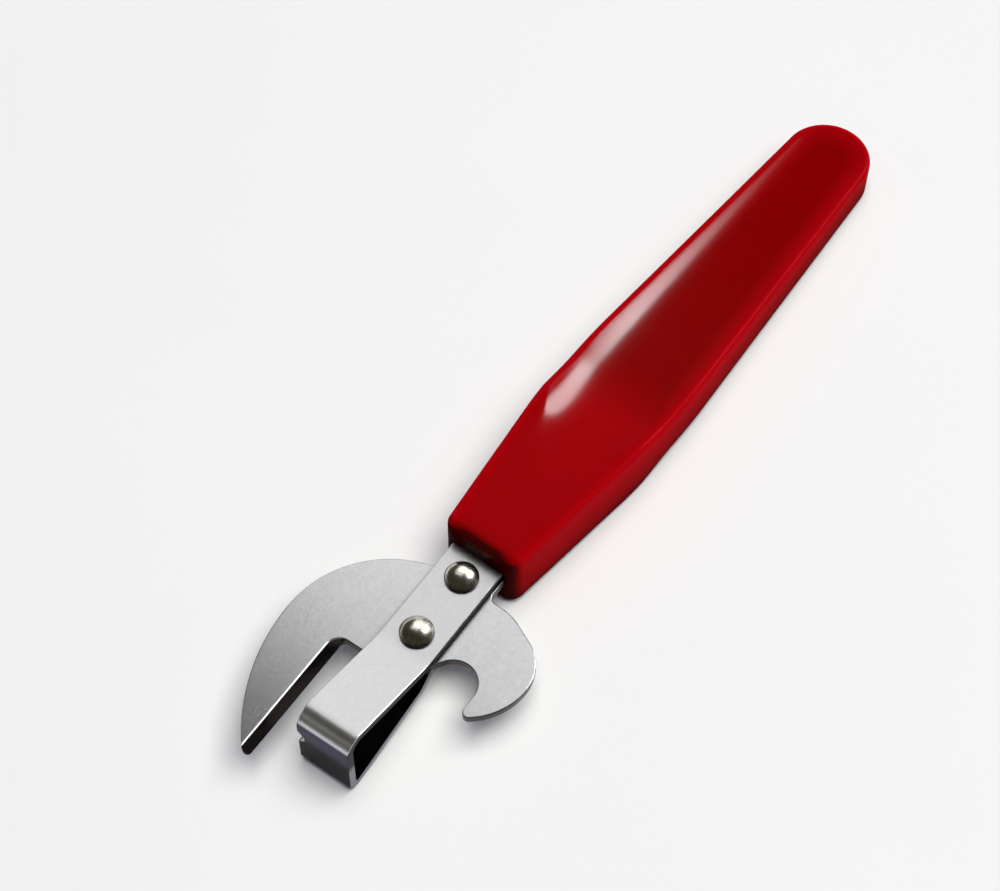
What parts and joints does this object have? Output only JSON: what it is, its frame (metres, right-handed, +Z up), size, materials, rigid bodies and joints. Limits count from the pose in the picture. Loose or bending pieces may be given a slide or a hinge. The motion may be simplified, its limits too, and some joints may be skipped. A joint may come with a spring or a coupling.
{
  "type": "manual can opener",
  "caption": "Lever can opener: crescent blade and cap hook stamped in one steel plate, a folded steel guide bracket, rivets and a scooped red plastic handle.",
  "frame": {"origin": "middle of the flat land under the handle's front block", "axes": "+X along the head towards the handle's butt, +Y towards the crescent blade, +Z up towards the domed rivet heads"},
  "size_m": [0.1759, 0.0443, 0.0163],
  "materials": {
    "plate_steel": "satin nickel plate with a fine grain along the blade",
    "strip_steel": "bright nickel plate",
    "rivet_steel": "polished dome",
    "handle_plastic": "glossy moulded red plastic"
  },
  "bodies": {
    "root": {"blade_plate": "plate_steel", "guide_bracket": "strip_steel", "rear_rivet": "rivet_steel", "front_rivet": "rivet_steel", "handle": "handle_plastic"}
  },
  "joints": []
}
